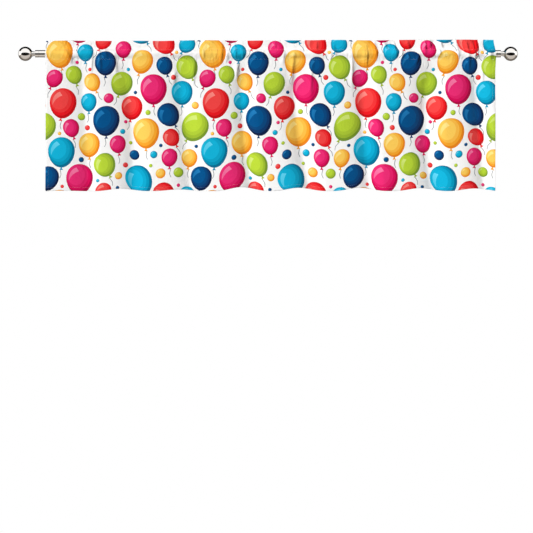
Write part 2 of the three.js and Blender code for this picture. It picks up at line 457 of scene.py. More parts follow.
def path(x, length):
    """Where the printed face lies, at a length along the line from the back seam."""
    zone = int(np.clip(np.searchsorted(ZONES, length, side="right") - 1, 0, 6))
    share = (length - ZONES[zone]) / (ZONES[zone + 1] - ZONES[zone])
    if zone == 0:
        z = np.full(np.shape(x), POCKET_FOOT - ALLOWANCE * (1 - share))
        y = panel_depth(x, z) + 2 * SEAM_HALF
    elif zone == 1:
        y, z = leaf(x, 1 - share, 1)
    elif zone == 2:
        y, z = heading(x, share, 1)
    elif zone == 3:
        y, z = heading(x, 1, 0)
        y = y + HEADING_HALF * math.cos(math.pi * share)
        z = z + HEADING_HALF * math.sin(math.pi * share)
    elif zone == 4:
        y, z = heading(x, 1 - share, -1)
    elif zone == 5:
        y, z = leaf(x, share, -1)
    else:
        z = lerp(POCKET_FOOT, hem_line(x), share)
        y = panel_depth(x, z)
    if zone not in (1, 5):
        y = y - crease_height(x, z)
    edges = side_edges(float(np.mean(z)))
    across = (x - LEFT_EDGE) / (RIGHT_EDGE - LEFT_EDGE)
    return np.stack([lerp(edges[0], edges[1], across), y, z], axis=-1)


print("flat length of the path:", round(float(ZONES[-1]), 1), "mm")

# %% [markdown]
# ## Rows, columns and hems
#
# The sheet is a grid. Its rows are spread along the path, closer together where it bends. Its
# columns are spread evenly over the cloth itself and not over the width it hangs in, because
# cloth doesn't stretch: a fold uses more of it than flat cloth does. They lie closer together
# at each small crease.
#
# A hem is only more of the same grid, turned to the wrong side. Each row and column of a hem
# copies a place on the path and stands a cloth's thickness behind it.

# %% Rows and hems
CLOTH = 0.5
LAYER = 1.3
CORNER_LAYER = 2.8
TURN_STEPS = (0.25, 0.5, 0.75)
# Where the spacing of the rows changes, and how many steps lie between those places
SEAM_REACH = 24
ROW_STOPS = [*ZONES[:7], ZONES[6] + SEAM_REACH, ZONES[7] - LAYER / 2]
ROW_STEPS = (1, 11, 4, 3, 7, 14, 6, 68)


def turned_hem(edge, flat_edge, inward, depth, count):
    """A hem's rows or columns, from its fold to its cut edge."""
    lines = []
    for turn in TURN_STEPS:
        place = edge + inward * LAYER / 2 * (1 - math.sin(math.pi * turn))
        flat = flat_edge + inward * LAYER * (0.5 - turn)
        lines.append(dict(place=place, flat=flat, turned=(1 - math.cos(math.pi * turn)) / 2))
    for length in np.linspace(0, depth, count):
        place = edge + inward * (LAYER / 2 + length)
        lines.append(dict(place=place, flat=flat_edge - inward * (LAYER + length), turned=1.0))
    return lines


row_lengths = []
for start, end, steps in zip(ROW_STOPS, ROW_STOPS[1:], ROW_STEPS):
    row_lengths += list(np.linspace(start, end, steps + 1)[:-1])
row_lengths.append(ROW_STOPS[-1])
rows = [dict(place=length, flat=length, turned=0.0) for length in row_lengths]
rows += turned_hem(ZONES[7], ZONES[7], -1, HEM_HEIGHT, 5)
FLAT_HEIGHT = rows[-1]["flat"] - rows[0]["flat"]
print("rows:", len(rows), "flat height:", round(FLAT_HEIGHT), "mm")

# %% Columns
COLUMN_PITCH = 6.0
CREASE_PITCH = 2.5
# How far to each side of a crease the columns lie closer, and how far that is moved to the
# right, both in the crease's half width
CLOSER_REACH = 0.6
CLOSER_SHIFT = 0.3

fine_x = np.linspace(LEFT_EDGE, RIGHT_EDGE, 4001)
fine_depth = panel_depth(fine_x, -220)
steps = np.hypot(np.diff(fine_x), np.diff(fine_depth))
fine_flat = np.concatenate([[0], np.cumsum(steps)])
hung_flat = fine_flat[-1]
wanted = np.full(len(fine_x), 1 / COLUMN_PITCH)
for row in CREASES:
    reach = row["half"] * CREASE_RIGHT * CLOSER_REACH + abs(row["lean"]) / 2
    middle = row["at"] + row["half"] * CLOSER_SHIFT
    wanted[np.abs(fine_x - middle) < reach] = 1 / CREASE_PITCH
inner = (fine_flat >= LAYER / 2) & (fine_flat <= hung_flat - LAYER / 2)
inner_x, inner_flat = fine_x[inner], fine_flat[inner]
wanted = np.concatenate([[0], np.cumsum(wanted[inner][1:] * np.diff(inner_flat))])
places = np.linspace(0, wanted[-1], round(wanted[-1]) + 1)
column_x = np.interp(places, wanted, inner_x)
flat_places = np.interp(places, wanted, inner_flat)
face = [dict(place=x, flat=flat, turned=0.0) for x, flat in zip(column_x, flat_places)]
left_hem = turned_hem(LEFT_EDGE, 0, 1, SIDE_HEM, 4)
right_hem = turned_hem(RIGHT_EDGE, hung_flat, -1, SIDE_HEM, 4)
columns = left_hem[::-1] + face + right_hem
FLAT_WIDTH = columns[-1]["flat"] - columns[0]["flat"]
print("columns:", len(columns), "flat width:", round(FLAT_WIDTH), "mm")

# %% [markdown]
# ## Hanging the flat cut
#
# Every grid point now gets its place in the room. The sheet's own normal comes from two short
# steps along the surface, one across and one down, and the hems are pushed back along it.

# %% Hang the cut
STEP = 0.05
# The width over which the bottom hem comes down from its thicker corner
CORNER_EASES = 18

across_x, across_flat, across_turned = np.array([
    (column["place"], column["flat"], column["turned"]) for column in columns
]).T
down_flat = np.array([row["flat"] for row in rows])

from_side = np.minimum(across_x - LEFT_EDGE, RIGHT_EDGE - across_x)
hem_layer = lerp(CORNER_LAYER, LAYER, ease((from_side - SIDE_HEM - LAYER) / CORNER_EASES))

hung = np.zeros((len(rows), len(columns), 3))
facing = np.zeros_like(hung)
for place, row in enumerate(rows):
    here = path(across_x, row["place"])
    back_step = STEP if row["place"] > STEP else -STEP
    along = (here - path(across_x, row["place"] - back_step)) / back_step
    sideways = path(across_x + STEP, row["place"]) - here
    normal = np.cross(along, sideways)
    normal /= np.linalg.norm(normal, axis=1, keepdims=True)
    side_layer = LAYER * across_turned
    layer = lerp(side_layer, hem_layer - side_layer, row["turned"])
    hung[place] = here - normal * layer[:, None]
    flip = lerp(1, -1, row["turned"]) * lerp(1, -1, across_turned)
    facing[place] = normal * np.where(flip < 0, -1, 1)[:, None]


def on_cloth(across, down, lift):
    """A place on the hung cloth, from its flat place in mm and a height above the print."""
    column = np.interp(across, across_flat, np.arange(len(columns)))
    row = np.interp(down, down_flat, np.arange(len(rows)))
    c0 = np.minimum(column.astype(int), len(columns) - 2)
    r0 = np.minimum(row.astype(int), len(rows) - 2)
    c, r = (column - c0)[:, None], (row - r0)[:, None]
    places = []
    for grid in (hung, facing):
        upper = lerp(grid[r0, c0], grid[r0, c0 + 1], c)
        lower = lerp(grid[r0 + 1, c0], grid[r0 + 1, c0 + 1], c)
        places.append(lerp(upper, lower, r))
    return places[0] + places[1] * lift[:, None]


print("lowest point:", round(float(hung[..., 2].min()), 1), "mm")

# %% [markdown]
# ## The sheet as a mesh
#
# A grid primitive is the flat cut, and each of its points is carried to its place. Solidify
# then gives the cloth its thickness, towards the wrong side, so the printed face stays where
# it was put. The wrong side is a second material.

# %% The sheet
cloth = add_object(
    bpy.ops.mesh.primitive_grid_add,
    "valance_cloth",
    x_subdivisions=len(columns) - 1,
    y_subdivisions=len(rows) - 1,
    size=1,
    location=(0, 0, 0),
)
mesh = cloth.data
corner_count = len(mesh.vertices)
grid_places = points_of(mesh)
column_of = np.rint((grid_places[:, 0] + 0.5) * (len(columns) - 1)).astype(int)
row_of = np.rint((0.5 - grid_places[:, 1]) * (len(rows) - 1)).astype(int)
mesh.vertices.foreach_set("co", (hung[row_of, column_of] * MM).ravel())
mesh.update()

solidify = cloth.modifiers.new("thickness", "SOLIDIFY")
solidify.thickness = CLOTH * MM
solidify.offset = -1
solidify.use_even_offset = False
solidify.material_offset = 1
bpy.context.view_layer.objects.active = cloth
bpy.ops.object.modifier_apply(modifier=solidify.name)
bpy.ops.object.shade_smooth()
print("cloth:", len(mesh.polygons), "faces,", len(mesh.vertices), "points")

# %% [markdown]
# ## Where the print lies
#
# A print lies on the flat cut, so a point of the sheet takes its colour from its flat place. On
# the real one it looks hardly squeezed where the cloth curves round the rod, or on the slopes
# of the folds, so most of the squeeze is taken out of it here.

# %% Where the print lies
PRINT_EASED = 0.8
PRINT_EASED_ACROSS = 0.7

flat_across = np.tile(across_flat[column_of], 2)
flat_down = np.tile(down_flat[row_of], 2)

top_row = int(np.argmax(hung[:, len(columns) // 2, 2]))
middle_height = hung[:, len(columns) // 2, 2]
seen_down = middle_height[top_row] - middle_height
print_down = down_flat - down_flat[top_row]
in_front = np.arange(len(rows)) > top_row
turned_rows = np.array([row["turned"] for row in rows]) > 0
level = print_down - seen_down
level = np.where(turned_rows, level[~turned_rows][-1], level)
print_down = np.where(in_front, print_down - PRINT_EASED * level, print_down)
print_down = np.tile(print_down[row_of], 2)

spare = across_flat - (across_x - LEFT_EDGE)
face_columns = np.flatnonzero(across_turned == 0)
spare = spare[np.clip(np.arange(len(columns)), face_columns[0], face_columns[-1])]
print_across = across_flat - PRINT_EASED_ACROSS * spare
print_across = np.tile(print_across[column_of], 2)
print("printed width and height:", np.ptp(print_across).round(), np.ptp(print_down).round(), "mm")

# %% [markdown]
# ## The print's repeat
#
# The cloth is printed with party balloons in six colours on white, with small balls between
# them. A printed pattern repeats, here about every 47 cm across and 46 cm down. One repeat is
# laid out here. The balloons start at random places from a fixed seed and push each other
# apart until none touch, wrapping round the repeat's edges so that it tiles. Each one then
# leans to whichever side gives its string the most room, and the small balls go into the
# largest holes that are left.

# %% Settle the balloons
REPEAT = np.array([466.0, 456.0])
GAP = 5.4
BALLOONS = [45.5] * 9 + [36.5] * 11 + [27.5] * 14
SETTLING_STEPS = 900
EASED_PUSH = 0.6
draw = np.random.default_rng(11)


def wrapped(offset):
    """An offset between two places on the repeat, by the shorter way round."""
    return offset - REPEAT * np.round(offset / REPEAT)


def settle(places, radii):
    """Pushes overlapping balloons apart, each pair by half of what it overlaps."""
    for _ in range(SETTLING_STEPS):
        offset = wrapped(places[:, None] - places[None])
        apart = np.linalg.norm(offset, axis=2) + np.eye(len(radii))
        overlap = radii[:, None] + radii[None] + GAP - apart
        overlap = np.where(np.eye(len(radii), dtype=bool), 0, np.maximum(overlap, 0))
        push = (offset / apart[..., None] * overlap[..., None] * 0.5).sum(axis=1)
        places = (places + push * EASED_PUSH) % REPEAT
    return places, float(overlap.max())


radii = np.array(BALLOONS)
starts = draw.uniform(0, 1, (len(radii), 2)) * REPEAT
centres, worst = settle(starts, radii)
print("balloons:", len(radii), "overlap left:", round(worst, 2), "mm")

# %% Lean the balloons
STRING_LENGTH = 25.0
KNOT_LENGTH = 7.5
LEANS = np.radians([0, 8, -8, 16, -16, 24, -24, 32, -32])
# The room beside a string that is enough, and what a lean of one radian costs in room
ENOUGH_ROOM = 6
LEAN_COST = 4

leans = np.zeros(len(radii))
tail_points = []
for place in range(len(radii)):
    best = -1e9
    for lean in LEANS:
        down = np.array([math.sin(lean), math.cos(lean)])
        reach = radii[place] + np.linspace(KNOT_LENGTH, KNOT_LENGTH + STRING_LENGTH, 5)
        tail = centres[place] + down * reach[:, None]
        others = np.delete(np.arange(len(radii)), place)
        room = np.linalg.norm(wrapped(tail[:, None] - centres[others]), axis=2) - radii[others]
        score = np.minimum(room, ENOUGH_ROOM).sum() - LEAN_COST * abs(lean)
        if score > best:
            best, leans[place], kept_tail = score, lean, tail
    tail_points.append(kept_tail)
tail_points = np.concatenate(tail_points)
print("balloons that lean:", int((leans != 0).sum()))

# %% Add the small balls
BALLS = [15.0] * 4 + [11.0] * 10 + [7.8] * 9 + [5.3] * 6
BALL_GAP = 4.6
BALLS_APART = 12.0

ball_places, ball_radii = [], []
spots = np.stack(np.meshgrid(*[np.arange(0, side, 3.0) for side in REPEAT]), -1).reshape(-1, 2)
room = (np.linalg.norm(wrapped(spots[:, None] - centres), axis=2) - radii).min(axis=1)
tail_room = np.linalg.norm(wrapped(spots[:, None] - tail_points), axis=2).min(axis=1) - 2
room = np.minimum(room, tail_room)
for size in BALLS:
    spot = int(np.argmax(room))
    fits = [smaller for smaller in sorted(set(BALLS), reverse=True) if smaller <= size]
    size = next((s for s in fits if s + BALL_GAP <= room[spot]), None)
    if size is None:
        continue
    ball_places.append(spots[spot])
    ball_radii.append(size)
    taken = np.linalg.norm(wrapped(spots - spots[spot]), axis=1) - size - BALLS_APART
    room = np.minimum(room, taken)

motif_places = np.concatenate([centres, ball_places])
motif_radii = np.concatenate([radii, ball_radii])
print("balls:", len(ball_radii))

# %% [markdown]
# ## Choosing the inks
#
# A printer's colours look even when no two neighbours share one. Each motif, from the largest
# down, takes the ink whose nearest use is furthest away.

# %% Choose the inks
INKS = ["red", "pink", "navy", "cyan", "lime", "amber"]
# An unused ink counts as this far away. Each use of an ink makes it a little less welcome, and
# a random amount keeps the order of the inks from showing. All three are in millimetres
UNUSED = 400.0
EACH_USE = 9.0
SHUFFLE = 12

motif_inks = np.full(len(motif_radii), -1)
for place in range(len(motif_radii)):
    reach = []
    for ink in range(len(INKS)):
        same = np.flatnonzero(motif_inks == ink)
        gap = wrapped(motif_places[same] - motif_places[place])
        distance = np.linalg.norm(gap, axis=1) if len(same) else np.array([UNUSED])
        reach.append(distance.min() - EACH_USE * len(same))
    motif_inks[place] = int(np.argmax(np.array(reach) + draw.uniform(0, SHUFFLE, len(INKS))))
print("uses of each ink:", {ink: int((motif_inks == n).sum()) for n, ink in enumerate(INKS)})

# %% [markdown]
# ## Putting the print on the cloth
#
# A material could test every balloon at every point of the cloth, but that is slow. Instead
# each face of the cloth is told which balloon it belongs to: a UV map called "Balloon" holds
# the face's corners measured from that balloon's middle, in balloon radii, so that the balloon
# is always the circle of radius 1. A second map, "Tail", does the same for the nearest knot and
# string, in hundreds of millimetres. The faces are about as wide as the gaps between balloons,
# so no face has to show two of them.

# %% Give each face its balloon
loop_count = len(mesh.loops)
loop_corner = np.empty(loop_count, dtype=int)
mesh.loops.foreach_get("vertex_index", loop_corner)
face_of_loop = np.repeat(np.arange(len(mesh.polygons)), 4)
flat = np.stack([print_across, print_down], axis=1)
loop_flat = flat[loop_corner]
face_flat = loop_flat.reshape(-1, 4, 2).mean(axis=1)


def nearest(distance_to, count):
    """Which motif each face is nearest to."""
    best = np.full(len(face_flat), 1e9)
    chosen = np.zeros(len(face_flat), dtype=int)
    for motif in range(count):
        distance = distance_to(motif)
        closer = distance < best
        best[closer] = distance[closer]
        chosen[closer] = motif
    return chosen


def leaning(offset, lean):
    """An offset turned so that its second number runs down the balloon, towards its knot."""
    sine, cosine = np.sin(lean), np.cos(lean)
    right = offset[..., 0] * cosine - offset[..., 1] * sine
    down = offset[..., 0] * sine + offset[..., 1] * cosine
    return np.stack([right, down], axis=-1)


def from_balloon(motif):
    return np.linalg.norm(wrapped(face_flat - motif_places[motif]), axis=1) - motif_radii[motif]


def from_tail(motif):
    local = leaning(wrapped(face_flat - motif_places[motif]), leans[motif])
    beyond = np.abs(local[:, 1] - radii[motif] - STRING_LENGTH / 2) - STRING_LENGTH / 2
    return np.hypot(local[:, 0], np.maximum(beyond, 0))


face_balloon = nearest(from_balloon, len(motif_radii))
face_tail = nearest(from_tail, len(radii))
print("motifs used:", len(set(face_balloon)), "of", len(motif_radii))

# %% Write the print's maps
# How wide a balloon is for its height, and how much wider it is at its top than at its middle
SLIM = 0.88
EGG = 0.10
TAIL_SCALE = 100

balloon_leans = np.concatenate([leans, np.zeros(len(ball_radii))])
widths = np.where(np.arange(len(motif_radii)) < len(radii), SLIM, 1.0)


def measured_from(chosen):
    """Each loop's place, measured from its face's motif on the same copy of the repeat."""
    copy = np.round((face_flat - motif_places[chosen]) / REPEAT) * REPEAT
    origin = (motif_places[chosen] + copy)[face_of_loop]
    return leaning(loop_flat - origin, balloon_leans[chosen][face_of_loop])


balloon_map = measured_from(face_balloon)
balloon_map[:, 0] /= (motif_radii * widths)[face_balloon][face_of_loop]
balloon_map[:, 1] /= -motif_radii[face_balloon][face_of_loop]
egg = np.where(face_balloon < len(radii), EGG, 0.0)[face_of_loop]
balloon_map[:, 0] /= 1 + egg * np.clip(balloon_map[:, 1], -1.2, 1.2)
tail_map = measured_from(face_tail)
tail_map[:, 1] -= radii[face_tail][face_of_loop]

mesh.uv_layers.new(name="Balloon").uv.foreach_set("vector", balloon_map.ravel())
mesh.uv_layers.new(name="Tail").uv.foreach_set("vector", (tail_map / TAIL_SCALE).ravel())
flat_map = mesh.uv_layers.new(name="Flat")
flat_map.uv.foreach_set("vector", (loop_flat * MM).ravel())

kinds = {
    "balloon_ink": motif_inks[face_balloon],
    "tail_ink": motif_inks[face_tail],
    "tail_sway": np.where(face_tail % 2 == 0, 1, -1),
}
for name, values in kinds.items():
    layer = mesh.attributes.new(name, "FLOAT", "FACE")
    layer.data.foreach_set("value", values.astype(np.float32))
print("maps:", [layer.name for layer in mesh.uv_layers])

# %% [markdown]
# ## The print
#
# Each balloon has a middle tone, two lighter discs towards the upper left where the light falls,
# a darker crescent at the lower right, and a pale window-shaped glint. All of them are circles
# tested in the "Balloon" map, so each is only a middle and a radius.

# %% Inks
CLOTH_WHITE = "F8F7F6"
STRING_GREY = "6F7479"
MAIN_TONES = ["E21820", "D40D57", "0B3565", "0290B4", "99B530", "EFA02C"]
LIGHT_TONES = ["EC4342", "E92C73", "004E85", "10AFD4", "B6D238", "F8C858"]
DARK_TONES = ["C00C14", "AC0642", "0A1C40", "046C8E", "75932C", "E0811A"]
GLINT_TONES = ["F58A82", "F57FA9", "1F78B4", "62D2EE", "D2E67C", "FDE38C"]


def new_material(name):
    """An empty node material with its tree and its Principled shader."""
    material = bpy.data.materials.new(name)
    material.use_nodes = True
    tree = material.node_tree
    return material, tree, tree.nodes["Principled BSDF"]


def fill_ramp(ramp, stops):
    """Gives a colour ramp its stops, each a position and a hex code."""
    while len(ramp.elements) < len(stops):
        ramp.elements.new(0.5)
    for place, (position, tone) in enumerate(stops):
        ramp.elements[place].position = position
        ramp.elements[place].color = linear(tone)


def ink_ramp(tree, ink, tones):
    """Turns an ink's number into one of its six tones."""
    share = node(tree, "ShaderNodeMath", {0: ink, 1: 0.5}, operation="ADD")
    share = node(tree, "ShaderNodeMath", {0: share, 1: len(tones)}, operation="DIVIDE")
    ramp = node(tree, "ShaderNodeValToRGB", {0: share})
    ramp.color_ramp.interpolation = "CONSTANT"
    fill_ramp(ramp.color_ramp, [(place / len(tones), tone) for place, tone in enumerate(tones)])
    return ramp


def inside(tree, point, centre, radius):
    """1 inside a circle and 0 outside it."""
    reach = node(tree, "ShaderNodeVectorMath", {0: point, 1: (*centre, 0)}, operation="DISTANCE")
    distance = reach.outputs["Value"]
    return node(tree, "ShaderNodeMath", {0: distance, 1: radius}, operation="LESS_THAN")


def all_of(tree, share, *others):
    """1 only where all of the shares are 1."""
    for other in others:
        share = node(tree, "ShaderNodeMath", {0: share, 1: other}, operation="MULTIPLY")
    return share


def laid_over(tree, colour, layers):
    """Lays one colour after another over the first, each where its share is 1."""
    for share, tone in layers:
        inputs = {0: share, 6: colour, 7: tone}
        colour = node(tree, "ShaderNodeMix", inputs, data_type="RGBA").outputs[2]
    return colour


print("inks:", len(MAIN_TONES))

# %% One balloon
# The middle and the radius of each disc, measured in the balloon's own radius
BODY = ((0, 0), 1.0)
HALF_LIT = ((-0.18, 0.17), 0.8)
LIT = ((-0.3, 0.22), 0.66)
NOT_SHADED = ((-0.12, 0.1), 0.93)
# The glint lies within one disc and outside another, and is cut off along a slanting line. It
# grows stronger from the line of GLINT_START to that cut
GLINT_WITHIN = ((0, 0), 0.8)
GLINT_OUTSIDE = ((0.35, -0.6), 1.2)
GLINT_START = -0.9
GLINT_CUT = 0.4
GLINT_WEAKEST = 0.55
GLINT_STRONGEST = 0.95


def balloon_glint(tree, point):
    """The pale glint at the upper left, which fades towards the balloon's edge."""
    near_side = inside(tree, point, *GLINT_OUTSIDE)
    beyond = node(tree, "ShaderNodeMath", {0: 1.0, 1: near_side}, operation="SUBTRACT")
    slant = node(tree, "ShaderNodeVectorMath", {0: point, 1: (1, 1, 0)}, operation="DOT_PRODUCT")
    slant = slant.outputs["Value"]
    cut = node(tree, "ShaderNodeMath", {0: slant, 1: GLINT_CUT}, operation="LESS_THAN")
    inputs = {0: slant, 1: GLINT_START, 2: GLINT_CUT, 3: GLINT_WEAKEST, 4: GLINT_STRONGEST}
    fade = node(tree, "ShaderNodeMapRange", inputs)
    return all_of(tree, inside(tree, point, *GLINT_WITHIN), beyond, cut, fade)


def balloon_tones(tree, ink):
    """The balloon's body as a share, and its colour."""
    point = node(tree, "ShaderNodeUVMap", uv_map="Balloon")
    body = inside(tree, point, *BODY)
    half_lit = all_of(tree, inside(tree, point, *HALF_LIT), body)
    lit = all_of(tree, inside(tree, point, *LIT), body)
    main = ink_ramp(tree, ink, MAIN_TONES)
    lighter = ink_ramp(tree, ink, LIGHT_TONES)
    colour = laid_over(tree, ink_ramp(tree, ink, DARK_TONES), [
        (inside(tree, point, *NOT_SHADED), main),
        (half_lit, laid_over(tree, main, [(0.5, lighter)])),
        (lit, lighter),
        (balloon_glint(tree, point), ink_ramp(tree, ink, GLINT_TONES)),
    ])
    return body, colour


print("lit disc's radius, in the balloon's own:", LIT[1])

# %% [markdown]
# ## Knots and strings
#
# Below each balloon hangs its knot, which flares like a little skirt, and a thin grey string
# that waves from side to side. Both are measured in millimetres in the "Tail" map, as a
# distance from the balloon's middle line and a distance down from its foot.

# %% Knots and strings
KNOT_TOP = -2.0
KNOT_HALF = 1.9
KNOT_FLARE = 0.075
STRING_HALF = 0.85
STRING_WAVE = 29
STRING_SWING = 1.7
STRING_DRIFT = 0.12


def in_band(tree, value, lowest, highest):
    """1 where a value lies between two others."""
    not_past = node(tree, "ShaderNodeMath", {0: value, 1: highest}, operation="LESS_THAN")
    reached = node(tree, "ShaderNodeMath", {0: value, 1: lowest}, operation="GREATER_THAN")
    return all_of(tree, not_past, reached)


def knot_and_string(tree):
    """Where the knots and the strings are, as two shares."""
    sway = node(tree, "ShaderNodeAttribute", attribute_name="tail_sway").outputs["Fac"]
    tail = node(tree, "ShaderNodeUVMap", uv_map="Tail")
    tail = node(tree, "ShaderNodeSeparateXYZ", {0: tail}).outputs
    right = node(tree, "ShaderNodeMath", {0: tail[0], 1: TAIL_SCALE}, operation="MULTIPLY")
    down = node(tree, "ShaderNodeMath", {0: tail[1], 1: TAIL_SCALE}, operation="MULTIPLY")

    flare = node(tree, "ShaderNodeMath", {0: down, 1: 2.0}, operation="POWER")
    inputs = {0: flare, 1: KNOT_FLARE, 2: KNOT_HALF}
    flare = node(tree, "ShaderNodeMath", inputs, operation="MULTIPLY_ADD")
    side = node(tree, "ShaderNodeMath", {0: right}, operation="ABSOLUTE")
    knot = node(tree, "ShaderNodeMath", {0: side, 1: flare}, operation="LESS_THAN")
    knot = all_of(tree, knot, in_band(tree, down, KNOT_TOP, KNOT_LENGTH))

    inputs = {0: down, 1: 2 * math.pi / STRING_WAVE}
    turn = node(tree, "ShaderNodeMath", inputs, operation="MULTIPLY")
    wave = node(tree, "ShaderNodeMath", {0: turn}, operation="SINE")
    wave = node(tree, "ShaderNodeMath", {0: wave, 1: STRING_SWING}, operation="MULTIPLY")
    inputs = {0: down, 1: STRING_DRIFT, 2: wave}
    wave = node(tree, "ShaderNodeMath", inputs, operation="MULTIPLY_ADD")
    wave = node(tree, "ShaderNodeMath", {0: wave, 1: sway}, operation="MULTIPLY")
    aside = node(tree, "ShaderNodeMath", {0: right, 1: wave}, operation="SUBTRACT")
    aside = node(tree, "ShaderNodeMath", {0: aside}, operation="ABSOLUTE")
    string = node(tree, "ShaderNodeMath", {0: aside, 1: STRING_HALF}, operation="LESS_THAN")
    length = in_band(tree, down, KNOT_LENGTH - 0.5, STRING_LENGTH + KNOT_LENGTH)
    return knot, all_of(tree, string, length)


def printed_colour(tree):
    """The print's colour: strings, knots and balloons, laid in that order over white cloth."""
    ink = node(tree, "ShaderNodeAttribute", attribute_name="balloon_ink").outputs["Fac"]
    tail_ink = node(tree, "ShaderNodeAttribute", attribute_name="tail_ink").outputs["Fac"]
    body, balloon = balloon_tones(tree, ink)
    knot, string = knot_and_string(tree)
    return laid_over(tree, linear(CLOTH_WHITE), [
        (string, linear(STRING_GREY)),
        (knot, ink_ramp(tree, tail_ink, MAIN_TONES)),
        (body, balloon),
    ])


print("a string's wave:", STRING_WAVE, "mm")

# %% [markdown]
# ## Weave and crumples
#
# The cloth is woven polyester with a printed face. Polyester thread is smooth, but a plain
# weave scatters the light, so the cloth is matt with a faint sheen at grazing angles. The weave,
# a fine unevenness and the smallest crumples are too fine for the mesh, so they are a bump map.
# Round the pocket the seams also pinch the cloth into short upright lines.

# %% Weave and crumples
THREAD_HEIGHT = 0.12
THREAD_SPACING = 1.2
BUMP_STRENGTH = 0.5
# How many times higher than a thread the cloth's small unevenness, its crumples and the
# pinched lines between the crumples are
GRAIN = 26.0
CRUMPLE = 28.0
PINCH = 19.0
# How many of each there are to a metre of cloth, across and down: a grain is about 7 mm, a
# crumple 11 by 22 mm, and the pinched lines are about 16 mm apart and 60 mm long
GRAINS = 150.0
CRUMPLES = (90.0, 45.0, 1.0)
PINCHED_LINES = (62.0, 17.0, 1.0)
# Most of the pinched lines are left out, by patches of about 42 mm
PATCHES = 24.0
# Where the crumples start to fade, and where the pinched lines and the crumples end, in
# millimetres below the heading's top
FADES_FROM = 55
PINCHED_TO = 115
CRUMPLED_TO = 130


def pinched_lines(tree, flat_uv, down):
    """Short upright grooves, where a noise passes its middle value.

    A second noise leaves out most of them, and they end a little below the pocket.
    """
    tall = node(tree, "ShaderNodeMapping", {"Vector": flat_uv, "Scale": PINCHED_LINES})
    inputs = {"Vector": tall, "Scale": 1.0, "Detail": 1.0, "Distortion": 1.0}
    lines = node(tree, "ShaderNodeTexNoise", inputs)
    off_line = node(tree, "ShaderNodeMath", {0: lines, 1: 0.5}, operation="SUBTRACT")
    off_line = node(tree, "ShaderNodeMath", {0: off_line}, operation="ABSOLUTE")
    inputs = {0: off_line, 1: 0.0, 2: 0.075, 3: -PINCH, 4: 0.0}
    groove = node(tree, "ShaderNodeMapRange", inputs, interpolation_type="SMOOTHSTEP")
    kept = node(tree, "ShaderNodeTexNoise", {"Vector": flat_uv, "Scale": PATCHES, "Detail": 1.0})
    kept = node(tree, "ShaderNodeMapRange", {0: kept, 1: 0.46, 2: 0.6, 3: 0.0, 4: 1.0})
    inputs = {0: down, 1: FADES_FROM * MM, 2: PINCHED_TO * MM, 3: 1.0, 4: 0.0}
    near_top = node(tree, "ShaderNodeMapRange", inputs)
    return all_of(tree, groove, kept, near_top)


def weave_bump(tree):
    """Threads drawn at 1.2 mm, where real ones lie 0.3 mm apart, with grain and crumples."""
    flat_uv = node(tree, "ShaderNodeUVMap", uv_map="Flat")
    # A wave texture's bands lie 0.314 / Scale apart
    threads = []
    for direction in ("X", "Y"):
        inputs = {"Vector": flat_uv, "Scale": 0.314 / (THREAD_SPACING * MM), "Distortion": 0.6}
        wave = node(tree, "ShaderNodeTexWave", inputs, bands_direction=direction)
        threads.append(wave.outputs["Fac"])
    height = node(tree, "ShaderNodeMath", {0: threads[0], 1: threads[1]}, operation="ADD")
    grain = node(tree, "ShaderNodeTexNoise", {"Vector": flat_uv, "Scale": GRAINS, "Detail": 4.0})
    # The puckered top is crumpled too, down to a little below the pocket
    upright = node(tree, "ShaderNodeMapping", {"Vector": flat_uv, "Scale": CRUMPLES})
    inputs = {"Vector": upright, "Scale": 1.0, "Detail": 2.0, "Distortion": 0.8}
    crumple = node(tree, "ShaderNodeTexNoise", inputs)
    down = node(tree, "ShaderNodeSeparateXYZ", {0: flat_uv}).outputs[1]
    inputs = {0: down, 1: FADES_FROM * MM, 2: CRUMPLED_TO * MM, 3: CRUMPLE, 4: 0.0}
    near_top = node(tree, "ShaderNodeMapRange", inputs)
    for texture, strength in ((grain, GRAIN), (crumple, near_top)):
        inputs = {0: texture, 1: strength, 2: height}
        height = node(tree, "ShaderNodeMath", inputs, operation="MULTIPLY_ADD")
    pinch = pinched_lines(tree, flat_uv, down)
    height = node(tree, "ShaderNodeMath", {0: height, 1: pinch}, operation="ADD")
    inputs = {"Height": height, "Strength": BUMP_STRENGTH, "Distance": THREAD_HEIGHT * MM}
    return node(tree, "ShaderNodeBump", inputs)


print("threads drawn every", THREAD_SPACING, "mm")

# %% [markdown]
# ## The cloth's two sides
#
# The printed face is matt with a faint sheen. The wrong side is the same cloth, unprinted, with
# a ghost of the print showing through. Both are materials of the one piece, and each face of
# the mesh is told which of them it wears.

# %% The cloth's two sides
GHOST = 0.13

printed, tree, shader = new_material("printed_polyester")
connect(tree, shader, {
    "Base Color": printed_colour(tree),
    "Roughness": 0.82,
    "IOR": 1.45,
    "Specular IOR Level": 0.25,
    "Sheen Weight": 0.05,
    "Sheen Roughness": 0.5,
    "Normal": weave_bump(tree),
})

reverse, tree, shader = new_material("polyester_wrong_side")
connect(tree, shader, {
    "Base Color": laid_over(tree, linear("F1F0EE"), [(GHOST, printed_colour(tree))]),
    "Roughness": 0.88,
    "IOR": 1.45,
    "Normal": weave_bump(tree),
})

cloth.data.materials.append(printed)
cloth.data.materials.append(reverse)
sides = np.zeros(len(mesh.polygons), dtype=int)
face_corners = loop_corner.reshape(-1, 4)
sides[(face_corners >= corner_count).all(axis=1)] = 1
mesh.polygons.foreach_set("material_index", sides)
mesh.update()
print("faces on the wrong side:", int(sides.sum()))

# %% [markdown]
# ## A map for baking
#
# When the part is exported, its materials are painted into pictures through a UV map called
# "OFBake". The flat cut is already the best such map: the printed face fills one half of the
# picture, the wrong side fills the other half, and the cut edges are thin strips round the
# first half.

# %% Bake map
BAKE_MARGIN = 0.01
BAKE_TALL = 0.47
BAKE_EDGE = 0.004

